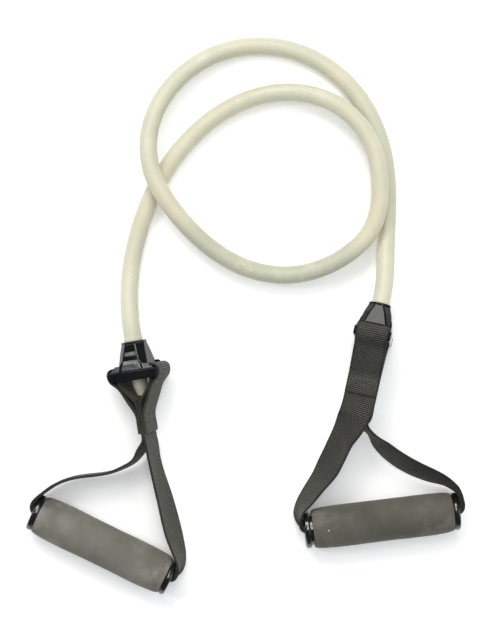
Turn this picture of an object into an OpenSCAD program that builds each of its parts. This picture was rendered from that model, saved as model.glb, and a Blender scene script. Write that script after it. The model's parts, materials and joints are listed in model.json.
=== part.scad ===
// Resistance tube with two stirrup handles, lying relaxed on a table in one loop.
//
// Frame: the origin is on the table, under the middle of the object. +Z is up,
// +Y runs from the handles towards the coil of the tube, +X runs from the left
// handle to the right one. Lengths are in millimetres, angles in degrees.
//
// Each end is built the same way: the latex tube runs into a moulded connector,
// where a hard plug inside the tube makes a bulge that can't pull back through
// the mouth. Two crossbars on the connector carry a length of webbing, which is
// sewn together below the tube's tail, parts into two legs and runs through a
// hollow handle made of a core tube, a foam sleeve and two end caps.

/* [Tube] */
// Outside diameter of the latex tube
tube_od = 14; // [12:0.5:14]
// Bore of the latex tube
tube_id = 7; // [5:0.5:8]
// Sides of the tube's cross-section where it is swept along its curve
tube_sides = 18; // [12:2:20]
// Largest diameter of the stopper plug inside the tube's end
plug_d = 9.6; // [8:0.2:10]

/* [Connector] */
// Size of the connector's mouth across the webbing
mouth_x = 19.4; // [18:0.2:20]
// Size of the connector's mouth along the crossbars
mouth_y = 17; // [16.4:0.2:18]
// Length from the mouth to the foot of the connector
conn_len = 30; // [28:0.5:31]
// Distance of each crossbar from the connector's axis
bar_x = 18; // [17.6:0.2:19]
// Diameter of the crossbars that the webbing runs over
bar_d = 5; // [4:0.5:5]
// Height of the frame that carries the crossbars
rail_h = 7.2; // [6:0.2:8]

/* [Webbing] */
// Width of the webbing
web_w = 25.4; // [20:0.2:25.4]
// Thickness of the webbing
web_t = 1.8; // [1.2:0.1:1.8]
// Width that the webbing takes up inside the handle, where it curls
web_w_in = 21.4; // [16:0.2:21.6]
// Distance from the mouth to the cut ends of the webbing
web_end = 73; // [68:1:74]
// Distance from the mouth to the line where the stirrup folds
fold_z = 77; // [76:0.5:79]

/* [Handle] */
// Outside diameter of the foam sleeve
foam_d = 33; // [33:0.5:36]
// Length of the foam sleeve
foam_len = 112; // [110:0.2:112]
// Outside diameter of the core tube under the foam
core_d = 28; // [27.6:0.1:29]
// Bore of the core tube
core_bore = 25.4; // [25:0.1:26]
// Diameter of the end caps' flanges
cap_d = 29.6; // [29.2:0.1:31]
// Thickness of the end caps' flanges
cap_t = 4.8; // [3:0.1:5]
// Hole through the end caps, which the webbing runs through
cap_bore = 23; // [22.8:0.1:23.4]

/* [Hidden] */
$fn = 64;

latex = [0.80, 0.79, 0.69];
plug_white = [0.86, 0.86, 0.84];
black_gloss = [0.10, 0.10, 0.11];
webbing = [0.22, 0.22, 0.20];
thread = [0.14, 0.14, 0.13];
foam = [0.34, 0.33, 0.31];

tube_r = tube_od / 2;
bore_r = tube_id / 2;
plug_r = plug_d / 2;
// running clearance of the tube's end in the connector
swivel_gap = 0.05;
// how far each length of tube is drawn back where it meets the next
joint_gap = 0.04;
// length of tube above the mouth that belongs to its straight end
stub = 6;

// ---- placement of connectors and handles ----
// Each connector has the place of its mouth, the heading of its axis on the
// table, its climb and its roll about its own axis.
left_mouth = [-87.6, -20.2, 20.8];
left_yaw = -80.8;
left_pitch = 0;
left_roll = 108;
right_mouth = [108.1, 9, 22.3];
right_yaw = -103;
right_pitch = 7;
right_roll = 189;
// centre and heading of each handle
left_handle = [-112.7, -182.6, 16.6];
left_turn = -26;
right_handle = [110.3, -163.1, 16.6];
right_turn = 7;

module at_connector(mouth, yaw, pitch, roll) {
    translate(mouth) rotate([0, 90 - pitch, yaw]) rotate([0, 0, roll]) children();
}
module at_left() { at_connector(left_mouth, left_yaw, left_pitch, left_roll) children(); }
module at_right() { at_connector(right_mouth, right_yaw, right_pitch, right_roll) children(); }
module at_left_handle() { translate(left_handle) rotate([0, 0, left_turn]) children(); }
module at_right_handle() { translate(right_handle) rotate([0, 0, right_turn]) children(); }

// direction of a connector's axis, from its mouth to its foot
function axis_of(yaw, pitch) = [cos(pitch) * cos(yaw), cos(pitch) * sin(yaw), sin(pitch)];
// direction across a connector, from one crossbar to the other
function across_of(yaw, pitch, roll) =
    cos(roll) * [sin(pitch) * cos(yaw), sin(pitch) * sin(yaw), -cos(pitch)]
    + sin(roll) * [-sin(yaw), cos(yaw), 0];
left_dir = axis_of(left_yaw, left_pitch);
right_dir = axis_of(right_yaw, right_pitch);
left_across = across_of(left_yaw, left_pitch, left_roll);
right_across = across_of(right_yaw, right_pitch, right_roll);
// along the crossbars, which is also across the webbing
left_bar = cross(left_dir, left_across);
right_bar = cross(right_dir, right_across);

// a point in a connector's middle plane
function on_left(x, z) = left_mouth + x * left_across + z * left_dir;
function on_right(x, z) = right_mouth + x * right_across + z * right_dir;
// a point beside a handle: x along it from its middle, y towards the connector
function by_handle(centre, turn, x, y) =
    centre + [x * cos(turn) - y * sin(turn), x * sin(turn) + y * cos(turn), 0];
function by_left(x, y) = by_handle(left_handle, left_turn, x, y);
function by_right(x, y) = by_handle(right_handle, right_turn, x, y);

// ---- lists and outlines ----
function unit(v) = v / norm(v);
function reversed(list) = [for (i = [len(list) - 1:-1:0]) list[i]];
// closes a half outline with its mirror image in x
function mirrored(half) = concat(half, [for (p = reversed(half)) [-p[0], p[1]]]);
function arc(centre, radius, from, to, parts) =
    [for (i = [0:parts]) let (angle = from + (to - from) * i / parts)
        centre + radius * [cos(angle), sin(angle)]];
// the two triangles of a four-cornered face
function halves(corners) = [
    [corners[0], corners[1], corners[3]],
    [corners[1], corners[2], corners[3]]
];

// ---- smooth curve through waypoints ----
// A clamped cubic spline. Its second derivatives, the bends, solve a three-band
// system: gaps are the chord lengths with a zero at each end, loads the right side.
function chord_gaps(points) =
    concat([0], [for (i = [0:len(points) - 2]) norm(points[i + 1] - points[i])], [0]);
function bend_loads(points, gaps, start_dir, end_dir) =
    let (slopes = concat(
        [start_dir],
        [for (i = [0:len(points) - 2]) (points[i + 1] - points[i]) / gaps[i + 1]],
        [end_dir]))
    [for (i = [0:len(points) - 1]) 6 * (slopes[i + 1] - slopes[i])];
// forward elimination, giving a row [ratio, load] for each waypoint
function eliminate(gaps, loads, i = 0, ratio = 0, load = [0, 0, 0], rows = []) =
    i == len(loads) ? rows :
    let (pivot = 2 * (gaps[i] + gaps[i + 1]) - gaps[i] * ratio,
         new_ratio = gaps[i + 1] / pivot,
         new_load = (loads[i] - gaps[i] * load) / pivot)
    eliminate(gaps, loads, i + 1, new_ratio, new_load, concat(rows, [[new_ratio, new_load]]));
function substitute(rows, i, bend = [0, 0, 0], found = []) =
    i < 0 ? found :
    let (new_bend = rows[i][1] - rows[i][0] * bend)
    substitute(rows, i - 1, new_bend, concat([new_bend], found));
function spline_bends(points, start_dir, end_dir) =
    let (gaps = chord_gaps(points))
    substitute(eliminate(gaps, bend_loads(points, gaps, start_dir, end_dir)), len(points) - 1);

// station [place, heading] at fraction t of the span after waypoint i
function station_at(points, bends, i, t) =
    let (chord = points[i + 1] - points[i], span = norm(chord), rest = 1 - t)
    [rest * points[i] + t * points[i + 1]
        + span * span / 6 * ((pow(rest, 3) - rest) * bends[i] + (pow(t, 3) - t) * bends[i + 1]),
     unit(chord / span - span * (3 * rest * rest - 1) / 6 * bends[i]
        + span * (3 * t * t - 1) / 6 * bends[i + 1])];
// stations from one waypoint to another, with a number of steps to each span
function stations(points, bends, first, last, steps) = concat(
    [for (i = [first:last - 1]) for (j = [0:steps - 1]) station_at(points, bends, i, j / steps)],
    [station_at(points, bends, last - 1, 1)]);

// ---- the tube's course ----
// From the left connector along the table, under its own second pass, up and
// over the outer pass on the right, back across the middle, over the first
// crossing, and down to the table round the outside to the right connector.
course = [
    on_left(0, -stub),
    [-91.6, 19, 13.8],
    [-87.4, 56, 7.7],
    [-70, 104.4, 7.1],          // passes under the second pass
    [-43, 142.5, 7.2],
    [-6, 169.4, 8.6],
    [37, 178.5, 13],
    [76, 166, 18],
    [100.5, 138, 20.4],         // climbs on to the outer pass
    [108, 102, 21],
    [101.5, 69, 19.4],
    [78, 45.8, 16.5],
    [40, 32.6, 14.6],
    [2, 37.8, 15],
    [-34, 60, 18],
    [-59, 88, 21.2],
    [-71.8, 111, 21.8],         // passes over the first pass
    [-75.6, 143, 19.6],
    [-60, 180.5, 14.4],
    [-24, 209, 9],
    [20, 216.2, 7.2],
    [64, 201.5, 7.1],
    [97, 168, 7.1],
    [113, 124, 7.1],
    [115.3, 92, 7.1],           // under the first pass on the right
    [113.9, 58, 9.2],
    on_right(0, -stub)
];
course_bends = spline_bends(course, -left_dir, right_dir);
// waypoints where the coil meets the left and the right run
coil_first = 3;
coil_last = 24;
left_run = stations(course, course_bends, 0, coil_first, steps = 7);
coil = stations(course, course_bends, coil_first, coil_last, steps = 5);
right_run = stations(course, course_bends, coil_last, len(course) - 1, steps = 9);

// ring of points round a station
function ring(station, radius) =
    let (side = unit(cross(station[1], [0, 0, 1])), up = cross(side, station[1]))
    [for (k = [0:tube_sides - 1]) let (angle = 360 * k / tube_sides)
        station[0] + radius * (cos(angle) * side + sin(angle) * up)];
// draws the first and last stations back a little, so that two lengths of the
// same tube meet without sharing any space
function drawn_back(line) =
    let (last = len(line) - 1)
    [for (i = [0:last])
        let (shift = i == 0 ? joint_gap : i == last ? -joint_gap : 0)
        [line[i][0] + shift * line[i][1], line[i][1]]];

// the hollow tube along a list of stations
module swept_tube(full_line) {
    line = drawn_back(full_line);
    last = len(line) - 1;
    function outer(i, k) = i * tube_sides + k % tube_sides;
    function inner(i, k) = (last + 1) * tube_sides + outer(i, k);
    points = concat(
        [for (station = line) each ring(station, tube_r)],
        [for (station = line) each ring(station, bore_r)]);
    walls = [for (i = [0:last - 1]) for (k = [0:tube_sides - 1]) each concat(
        halves([outer(i, k), outer(i, k + 1), outer(i + 1, k + 1), outer(i + 1, k)]),
        halves([inner(i, k), inner(i + 1, k), inner(i + 1, k + 1), inner(i, k + 1)]))];
    ends = [for (k = [0:tube_sides - 1]) each concat(
        halves([outer(0, k), inner(0, k), inner(0, k + 1), outer(0, k + 1)]),
        halves([outer(last, k), outer(last, k + 1), inner(last, k + 1), inner(last, k)]))];
    polyhedron(points = points, faces = concat(walls, ends), convexity = 12);
}

module tube_coil() { color(latex) swept_tube(coil); }
module left_tube_run() { color(latex) swept_tube(left_run); }
module right_tube_run() { color(latex) swept_tube(right_run); }

// ---- the tube's end in the connector ----
// Outlines are [radius, distance from the mouth], running towards the tail.
bulge_r = plug_r + 3.35;
plug_top = 10.4;
// the tube's bore where it grips the plug all round
plug_grip = [[bore_r, plug_top], [plug_r, 14.4], [plug_r, 20.6], [bore_r - 0.3, 26]];
// bulge over the plug, then the tail, pulled thin and trimmed
tube_end_outside = [
    [tube_r, -stub + joint_gap], [tube_r, 9],
    [bulge_r - 0.35, 12.4], [bulge_r, 14], [bulge_r, 19.6], [bulge_r - 0.5, 22],
    [tube_r + 0.1, 26.5], [6.65, 30.5], [5.75, 36], [4.5, 40.4], [3.3, 43.6]
];
tube_end_inside = concat(
    [[bore_r, -stub + joint_gap]],
    plug_grip,
    [[2.6, 29], [1.7, 36], [1.2, 43.6]]);

module tube_end() {
    color(latex) rotate_extrude() polygon(concat(tube_end_outside, reversed(tube_end_inside)));
}
module stopper_plug() {
    color(plug_white) rotate_extrude() polygon(concat(
        [[0, plug_top], [bore_r - 0.1, plug_top]],
        plug_grip,
        [[2.4, 27], [0, 27]]));
}

// ---- the connector ----
// Local frame: the mouth is at z = 0 and z runs towards the handle; the
// crossbars lie along y at x = -bar_x and x = bar_x.
body_x = 12.2;      // half width of the body between the crossbars
cheek = 1.5;        // thickness of the two side plates that hold the crossbars
gap_y = web_w / 2 + 0.35;
cheek_y = gap_y + cheek;
bar_z = conn_len - rail_h / 2 - 1.2;
rail_z = conn_len - rail_h;
rail_x = bar_x + 2.8;
hollow_r = 5;       // curve of the side plate up to the rail
boss_r = 3;         // rounding of the rail's end towards the mouth
foot_r = 2;         // rounding of the rail's end at the foot
half_mouth_x = mouth_x / 2;
half_mouth_y = mouth_y / 2;

// outline of the middle body, seen along the crossbars
body_outline = mirrored([
    [half_mouth_x - 0.6, 0], [half_mouth_x, 0.7], [half_mouth_x + 0.1, 2.4],
    [body_x - 0.3, 6], [body_x, 8], [body_x, conn_len - 0.8], [body_x - 0.8, conn_len]
]);
// outline of the whole connector, seen across the crossbars
side_outline = mirrored([
    [half_mouth_y - 0.6, 0], [half_mouth_y, 0.7], [half_mouth_y + 0.2, 2.4],
    [half_mouth_y + 2.6, 8], [cheek_y - 1.6, 17], [cheek_y, rail_z],
    [cheek_y, conn_len - 1], [cheek_y - 0.8, conn_len]
]);
// outline of a side plate, seen along the crossbars: a hollow curve swells out
// to the rail, which ends in a round boss over the crossbar
cheek_outline = mirrored(concat(
    [[half_mouth_x - 1, 0.4], [half_mouth_x + 0.1, 2.4], [body_x - 0.3, 6], [body_x + 1, 12]],
    arc([body_x + 1 + hollow_r, rail_z - hollow_r], hollow_r, 180, 100, 8),
    arc([rail_x - boss_r, rail_z + boss_r], boss_r, -70, 0, 5),
    arc([rail_x - foot_r, conn_len - foot_r], foot_r, 0, 90, 4)));

module slab(outline, y_from, y_to) {
    rotate([90, 0, 0]) translate([0, 0, -y_to])
        linear_extrude(height = y_to - y_from) polygon(outline);
}
// the side outline, reaching this far either way in x
module side_slab(reach) { rotate([0, 0, 90]) slab(side_outline, -reach, reach); }

// a tapered block with its corners cut off by a cone
module connector_body() {
    intersection() {
        slab(body_outline, -cheek_y, cheek_y);
        side_slab(body_x + 1);
        translate([0, 0, -0.01])
            cylinder(h = conn_len + 0.02, r1 = half_mouth_x + 0.9, r2 = body_x + 7.2);
    }
}
// side plates with the rail along their foot
module connector_cheeks() {
    intersection() {
        union() {
            slab(cheek_outline, -cheek_y, -gap_y);
            slab(cheek_outline, gap_y, cheek_y);
        }
        side_slab(rail_x + 1);
    }
}
module crossbars() {
    for (side = [-1, 1]) translate([side * bar_x, 0, bar_z]) rotate([90, 0, 0])
        cylinder(h = 2 * gap_y + cheek, d = bar_d, center = true);
}
// a bore that the tube's end turns in, opening out round the bulge
module socket() {
    neck_r = tube_r + swivel_gap;
    wide_r = bulge_r + swivel_gap;
    overlap = 0.05;
    flare_z = 9.2;
    wide_z = 12.5;
    translate([0, 0, -1]) cylinder(h = flare_z + 1, r = neck_r);
    translate([0, 0, flare_z - overlap])
        cylinder(h = wide_z - flare_z + 2 * overlap, r1 = neck_r, r2 = wide_r);
    translate([0, 0, wide_z]) cylinder(h = conn_len, r = wide_r);
    // chamfer at the mouth
    translate([0, 0, -0.01]) cylinder(h = 0.8, r1 = tube_r + 0.7, r2 = neck_r);
}
module connector() {
    color(black_gloss) difference() {
        union() {
            connector_body();
            connector_cheeks();
            crossbars();
        }
        socket();
    }
}

// ---- webbing on the connector ----
// A band of constant thickness along a flat path.
function normal_at(path, i) =
    let (along = unit(path[min(i + 1, len(path) - 1)] - path[max(i - 1, 0)]))
    [-along[1], along[0]];
function offset_path(path, distance) =
    [for (i = [0:len(path) - 1]) path[i] + distance * normal_at(path, i)];
function band(path, thickness) =
    concat(offset_path(path, thickness / 2), reversed(offset_path(path, -thickness / 2)));

// the roll over a crossbar is an oval that is a little loose on it
roll_rx = bar_d / 2 + 0.5 + web_t / 2;
roll_rz = bar_d / 2 + 1.1 + web_t / 2;
roll_x = bar_x - 0.15;
roll_z = bar_z - 0.5;
// spacing of the layers of webbing in the sewn block
lay = web_t + 0.05;
// distance from the fold line to the loops on one side, the stirrup on the other
fold_gap = 1.5;

// [x, z]: up inside the crossbar, over it, down outside it, back on to itself
loop_path = concat(
    [[lay / 2, fold_z - fold_gap], [lay / 2, 53], [1.3, 50.5], [5, 44],
     [roll_x - roll_rx - 0.6, 31.5]],
    [for (i = [0:14]) let (angle = 189 + 183 * i / 14)
        [roll_x + roll_rx * cos(angle), roll_z + roll_rz * sin(angle)]],
    [[20.4, 29.5], [15, 34.8], [12, 39.5], [9, 45.6], [5.4, 52.6], [3.4, 57],
     [lay * 1.5, 59.6], [lay * 1.5, web_end]]);
module webbing_loop() {
    rotate([90, 0, 0]) linear_extrude(height = web_w, center = true)
        polygon(band(loop_path, web_t));
}
module strap_loops() {
    color(webbing) {
        webbing_loop();
        mirror([1, 0, 0]) webbing_loop();
    }
}

// ---- stitching ----
// rows of short stitches across the sewn block and down its two edges, on both faces
stitch_l = 2.3;
stitch_d = 0.7;
row_step = 3.1;
row_places = [60.6, 71];
edge_step = 2.7;
edge_start = 63.1;
edge_y = 11;
stitch_face = lay * 1.5 + web_t / 2 + 0.05;
module stitch(tilt) {
    rotate([tilt, 0, 0]) cylinder(h = stitch_l, d = stitch_d, center = true, $fn = 12);
}
module strap_stitching() {
    color(thread) for (side = [-1, 1]) translate([side * stitch_face, 0, 0]) {
        for (z = row_places) for (k = [-3:3])
            translate([0, k * row_step, z]) stitch(90);
        for (y = [-edge_y, edge_y]) for (k = [0:2])
            translate([0, y, edge_start + k * edge_step]) stitch(0);
    }
}

// ---- the webbing's legs and its run through the handle ----
// Waypoints are [place, direction across the webbing, width]; stations are
// [place, heading, direction across the webbing, width].
function ribbon_stations(waypoints, start_dir, end_dir, steps = 5) =
    let (places = [for (waypoint = waypoints) waypoint[0]],
         bends = spline_bends(places, start_dir, end_dir),
         last = len(places) - 1)
    concat(
        [for (i = [0:last - 1]) for (j = [0:steps - 1])
            let (t = j / steps, ease = t * t * (3 - 2 * t), from = waypoints[i], to = waypoints[i + 1])
            concat(station_at(places, bends, i, t),
                   [(1 - ease) * from[1] + ease * to[1], (1 - ease) * from[2] + ease * to[2]])],
        [[places[last], end_dir, waypoints[last][1], waypoints[last][2]]]);

// the four corners of the webbing's section at a station
function section(station) =
    let (heading = unit(station[1]),
         across = unit(station[2] - (station[2] * heading) * heading),
         wide = station[3] / 2 * across,
         thick = web_t / 2 * cross(heading, across))
    [for (corner = [[1, 1], [-1, 1], [-1, -1], [1, -1]])
        station[0] + corner[0] * wide + corner[1] * thick];
module ribbon(line) {
    end = 4 * (len(line) - 1);
    sides = [for (i = [0:4:end - 4]) for (k = [0:3]) let (next = (k + 1) % 4)
        each halves([i + k, i + 4 + k, i + 4 + next, i + next])];
    polyhedron(
        points = [for (station = line) each section(station)],
        faces = concat(sides, halves([1, 2, 3, 0]), halves([end + 1, end, end + 3, end + 2])),
        convexity = 10);
}

// direction across the webbing when it leans from upright by an angle, its top
// edge leaning towards a heading on the table
function lean(heading, angle) =
    [sin(angle) * cos(heading), sin(angle) * sin(heading), cos(angle)];
// direction across the right webbing where it is turned about its length
function tilted_right(angle) = cos(angle) * right_bar + sin(angle) * right_across;

// distance of a cap's outer face from the handle's middle
face = cap_t + foam_len / 2;
start_z = fold_z + fold_gap;

// left stirrup: down the outer leg, through the handle, back up the inner leg
left_course = [
    [on_left(-lay / 2, start_z), left_bar, web_w],
    [on_left(-6.2, 85) + 0.3 * left_bar, left_bar, web_w],
    [[-85.9, -114.4, 18.2], lean(144, 8), web_w],
    [[-94, -120, 17.1], lean(116, 7), web_w],
    [[-108, -125.2, 16.3], lean(100, 4), web_w],
    [[-131, -128.4, 16], lean(100, 3), web_w],
    [[-150, -134.4, 16.3], lean(100, 3), web_w],
    [by_left(-face + 0.6, 17.6), lean(64, 2), web_w],
    [by_left(-face - 2.4, 10.5), lean(64, 0), 25],
    [by_left(-face - 1.9, 4), lean(0, 0), 22.6],
    [by_left(-face + 2.6, 0.4), lean(0, 0), web_w_in],
    [by_left(-face + 12, 0), lean(0, 0), web_w_in],
    [by_left(face - 12, 0), lean(0, 0), web_w_in],
    [by_left(face - 2.6, 0.2), lean(0, 0), web_w_in],
    [by_left(face + 1.3, 1.6), lean(160, 2), 22],
    [by_left(face + 3.3, 6), lean(165, 6), 23.6],
    [by_left(face + 2.8, 11.5), lean(172, 10), 25],
    [by_left(face - 4, 22), lean(180, 20), web_w],
    [[-56.8, -170.8, 17.4], lean(188, 27), web_w],
    [[-63.5, -144.3, 17.9], lean(192, 23.5), web_w],
    [[-70.6, -118, 18.9], lean(192, 16.5), web_w],
    [on_left(0.95, 87) - 0.6 * left_bar, left_bar, web_w],
    [on_left(lay / 2, start_z), left_bar, web_w]
];
// right stirrup: down the upper leg to the left end of the handle, through it,
// and back up the lower leg, which turns over near the sewn block
right_course = [
    [on_right(lay / 2, start_z), right_bar, web_w],
    [on_right(2.4, 88.5) + 0.75 * right_bar, tilted_right(-6), web_w],
    [[79.2, -93.2, 29.4], [-0.66, 0.32, -0.70], web_w],
    [[71.9, -108.9, 26.2], [-0.60, 0.32, -0.74], web_w],
    [[66.2, -120.6, 23.6], [-0.57, 0.33, -0.76], web_w],
    [[58.4, -132.8, 20.8], [-0.40, 0.27, -0.88], web_w],
    [by_right(-face + 2, 23.6), [-0.32, 0.2, -0.93], web_w],
    [by_right(-face - 4.9, 13), [-0.22, 0, -0.97], 25],
    [by_right(-face - 5.1, 6), [-0.09, 0, -1], 23.4],
    [by_right(-face - 2.8, 1.6), [0, 0, -1], 22],
    [by_right(-face + 1.6, 0.2), [0, 0, -1], web_w_in],
    [by_right(-face + 12, 0), [0, 0, -1], web_w_in],
    [by_right(face - 12, 0), [0, 0, -1], web_w_in],
    [by_right(face - 2.6, 0.2), [0, 0, -1], web_w_in],
    [by_right(face + 1.2, 1.6), [0, 0, -1], 22],
    [by_right(face + 3, 6), [0, 0, -1], 23.6],
    [by_right(face + 2.9, 11.2), [0, 0, -1], 25],
    [by_right(face - 1.4, 19), [-0.14, -0.14, -1], web_w],
    [[152.4, -129, 17.2], [-0.14, -0.40, -0.9], web_w],
    [[138, -123, 17.6], [-0.18, -0.47, -0.88], web_w],
    [[122.6, -114.4, 18.4], [-0.26, -0.43, -0.88], web_w],
    [[109, -103, 20.2], [-0.26, -0.30, -0.92], web_w],
    [[99.8, -93, 22.6], [-0.10, -0.06, -1], web_w],
    [on_right(-8.8, 93.5) - 2 * right_bar, tilted_right(-48), web_w],
    [on_right(-3.4, 85.5) - 0.2 * right_bar, tilted_right(-6), web_w],
    [on_right(-lay / 2, start_z), right_bar, web_w]
];
// the legs part as they leave the block, so they set out a little away from each other
left_ribbon = ribbon_stations(left_course,
    unit(left_dir - 0.4 * left_across), -unit(left_dir + 0.08 * left_across));
right_ribbon = ribbon_stations(right_course,
    unit(right_dir + 0.12 * right_across), -unit(right_dir - 0.28 * right_across));
module left_strap() { color(webbing) ribbon(left_ribbon); }
module right_strap() { color(webbing) ribbon(right_ribbon); }

// ---- the handle ----
// Local frame: x runs along the handle from its middle.
half_len = foam_len / 2;
foam_r = foam_d / 2;
core_r = core_d / 2;
spigot = 13;        // length of the caps' spigots, pressed into the core tube
cap_out = 2;        // how far the right handle's inner cap stands out of its core tube
seat_gap = 0.04;    // between the flange and the ends of the core tube and the foam
lip_r = 1.2;        // rounding of the flange's outer edge
bore_lip_r = 1.3;   // rounding of the flange's edge at the hole

module along_x() { rotate([0, 90, 0]) children(); }
module handle_core() {
    color(black_gloss) along_x() difference() {
        cylinder(h = foam_len, d = core_d, center = true);
        cylinder(h = foam_len + 2, d = core_bore, center = true);
    }
}
// [radius, distance along the handle], from the middle to the rounded end
foam_half = [
    [foam_r, 0], [foam_r + 0.05, half_len * 0.55], [foam_r - 0.1, half_len - 14],
    [foam_r - 0.35, half_len - 8], [foam_r - 0.7, half_len - 4.4],
    [foam_r - 1.15, half_len - 2], [foam_r - 1.6, half_len - 0.7],
    [core_r + 0.5, half_len], [core_r, half_len]
];
module foam_grip() {
    color(foam) along_x() rotate_extrude()
        polygon(concat(foam_half, [for (p = reversed(foam_half)) [p[0], -p[1]]]));
}
// flange with a rounded lip, and its spigot
module end_cap() {
    hole_r = cap_bore / 2;
    flange_r = cap_d / 2;
    spigot_r = core_bore / 2;
    seat = half_len + seat_gap;
    color(black_gloss) along_x() rotate_extrude() polygon(concat(
        [[hole_r, half_len - spigot], [spigot_r - 0.5, half_len - spigot],
         [spigot_r, half_len - spigot + 0.8], [spigot_r, seat],
         [flange_r - 0.3, seat], [flange_r, seat + 0.3]],
        arc([flange_r - lip_r, face - lip_r], lip_r, 0, 90, 5),
        arc([hole_r + bore_lip_r, face - bore_lip_r], bore_lip_r, 90, 180, 5)));
}

// ---- the pieces in place ----
module left_tube_end() { at_left() tube_end(); }
module right_tube_end() { at_right() tube_end(); }
module left_stopper_plug() { at_left() stopper_plug(); }
module right_stopper_plug() { at_right() stopper_plug(); }
module left_connector() { at_left() connector(); }
module right_connector() { at_right() connector(); }
module left_strap_loops() { at_left() strap_loops(); }
module right_strap_loops() { at_right() strap_loops(); }
module left_strap_stitching() { at_left() strap_stitching(); }
module right_strap_stitching() { at_right() strap_stitching(); }
module left_handle_core() { at_left_handle() handle_core(); }
module right_handle_core() { at_right_handle() handle_core(); }
module left_foam_grip() { at_left_handle() foam_grip(); }
module right_foam_grip() { at_right_handle() foam_grip(); }
module left_cap_outer() { at_left_handle() mirror([1, 0, 0]) end_cap(); }
module left_cap_inner() { at_left_handle() end_cap(); }
module right_cap_inner() {
    at_right_handle() translate([-cap_out, 0, 0]) mirror([1, 0, 0]) end_cap();
}
module right_cap_outer() { at_right_handle() end_cap(); }

tube_coil();
left_tube_run();
right_tube_run();
left_tube_end();
right_tube_end();
left_stopper_plug();
right_stopper_plug();
left_connector();
right_connector();
left_strap_loops();
right_strap_loops();
left_strap();
right_strap();
left_strap_stitching();
right_strap_stitching();
left_handle_core();
right_handle_core();
left_foam_grip();
right_foam_grip();
left_cap_outer();
left_cap_inner();
right_cap_inner();
right_cap_outer();
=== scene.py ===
"""An exercise band packed flat: a rubber tube in a loose coil, with a foam handle at each end.

It lies on the floor at z = 0, with +Z up. The coil lies towards +Y. Each end of the tube enters a
moulded connector, from which webbing runs on to the handle, through it and back. The left end
is at -X. Lengths are in millimetres until a mesh is made. Scene lengths are in metres.
"""
import json
import math
from functools import cached_property
from itertools import combinations

import bpy
import numpy as np
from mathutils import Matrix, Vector


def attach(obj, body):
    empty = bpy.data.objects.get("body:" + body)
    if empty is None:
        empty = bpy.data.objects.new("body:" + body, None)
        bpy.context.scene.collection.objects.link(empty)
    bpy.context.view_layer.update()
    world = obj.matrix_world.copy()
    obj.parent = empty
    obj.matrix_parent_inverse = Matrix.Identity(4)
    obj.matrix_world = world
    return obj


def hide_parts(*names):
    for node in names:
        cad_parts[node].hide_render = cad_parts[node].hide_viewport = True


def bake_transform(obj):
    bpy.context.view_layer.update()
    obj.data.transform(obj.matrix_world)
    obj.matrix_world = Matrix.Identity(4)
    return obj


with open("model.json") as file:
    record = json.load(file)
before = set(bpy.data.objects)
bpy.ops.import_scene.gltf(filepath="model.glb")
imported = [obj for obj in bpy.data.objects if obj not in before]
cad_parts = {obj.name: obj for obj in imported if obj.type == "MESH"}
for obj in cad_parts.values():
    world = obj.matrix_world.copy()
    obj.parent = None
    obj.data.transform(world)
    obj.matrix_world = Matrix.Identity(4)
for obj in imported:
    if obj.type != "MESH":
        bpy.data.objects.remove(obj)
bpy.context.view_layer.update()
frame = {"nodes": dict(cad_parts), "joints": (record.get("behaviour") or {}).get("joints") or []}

MM = 0.001
TAU = 2 * math.pi
UP = np.array([0.0, 0.0, 1.0])


# ---------------------------------------------------------------- vectors and noise
def unit(vectors):
    vectors = np.asarray(vectors, float)
    return vectors / np.maximum(np.linalg.norm(vectors, axis=-1, keepdims=True), 1e-12)


def ring_angles(count):
    return np.arange(count) / count * TAU


def between(table, z):
    """Straight-line interpolation in a table of (z, value)."""
    return np.interp(z, *np.transpose(table))


def lattice(cell, seed):
    """A repeatable random value from -1 to 1 for each whole-number cell."""
    mixed = (cell * np.array([374761393, 668265263, 2147483647])).sum(-1) + seed * 1274126177
    mixed = mixed & 0xFFFFFFFF
    mixed = ((mixed ^ (mixed >> 13)) * 1274126177) & 0xFFFFFFFF
    return ((mixed ^ (mixed >> 16)) & 0xFFFFFF) / float(0xFFFFFF) * 2.0 - 1.0


def noise3(points, seed):
    """Smooth value noise from -1 to 1, one lattice cell per unit."""
    cell = np.floor(points).astype(np.int64)
    ease = points - cell
    ease = ease**3 * (ease * (ease * 6 - 15) + 10)
    total = 0.0
    for corner in np.ndindex(2, 2, 2):
        weight = np.prod(np.where(corner, ease, 1 - ease), axis=-1)
        total = total + weight * lattice(cell + corner, seed)
    return total


def ring_noise(along, radius, angle, seed):
    """Noise over a surface turned round an axis."""
    return noise3(np.stack([along, radius * np.cos(angle), radius * np.sin(angle)], -1), seed)


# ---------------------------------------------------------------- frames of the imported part
class End:
    """One end of the band: its connector's frame and its handle's."""

    def __init__(self, side):
        joints = {joint["name"]: joint for joint in frame["joints"]}
        swivel, fold, spin = (joints[f"{side}_{name}"] for name in ("swivel", "fold", "spin"))
        self.side = side
        self.mouth = np.array(swivel["pos_m"]) * 1000
        self.dir = unit(swivel["axis"])
        self.bar = unit(fold["axis"])
        self.across = np.cross(self.bar, self.dir)
        self.hub = np.array(spin["pos_m"]) * 1000
        self.along = unit(spin["axis"])
        self.toward = np.cross(UP, self.along)

    def place(self, local):
        """From the connector's frame: x across, y along the crossbars, z down its axis."""
        x, y, z = np.split(np.asarray(local, float), 3, axis=-1)
        return self.mouth + x * self.across + y * self.bar + z * self.dir

    def place_handle(self, local):
        """From the handle's frame: x along it, y towards the connector, z up."""
        x, y, z = np.split(np.asarray(local, float), 3, axis=-1)
        return self.hub + x * self.along + y * self.toward + z * UP

    def at_mouth(self, x, z, y=0.0):
        return self.place([x, y, z])

    def at_hub(self, x, y):
        return self.place_handle([x, y, 0.0])


LEFT, RIGHT = End("left"), End("right")

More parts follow.
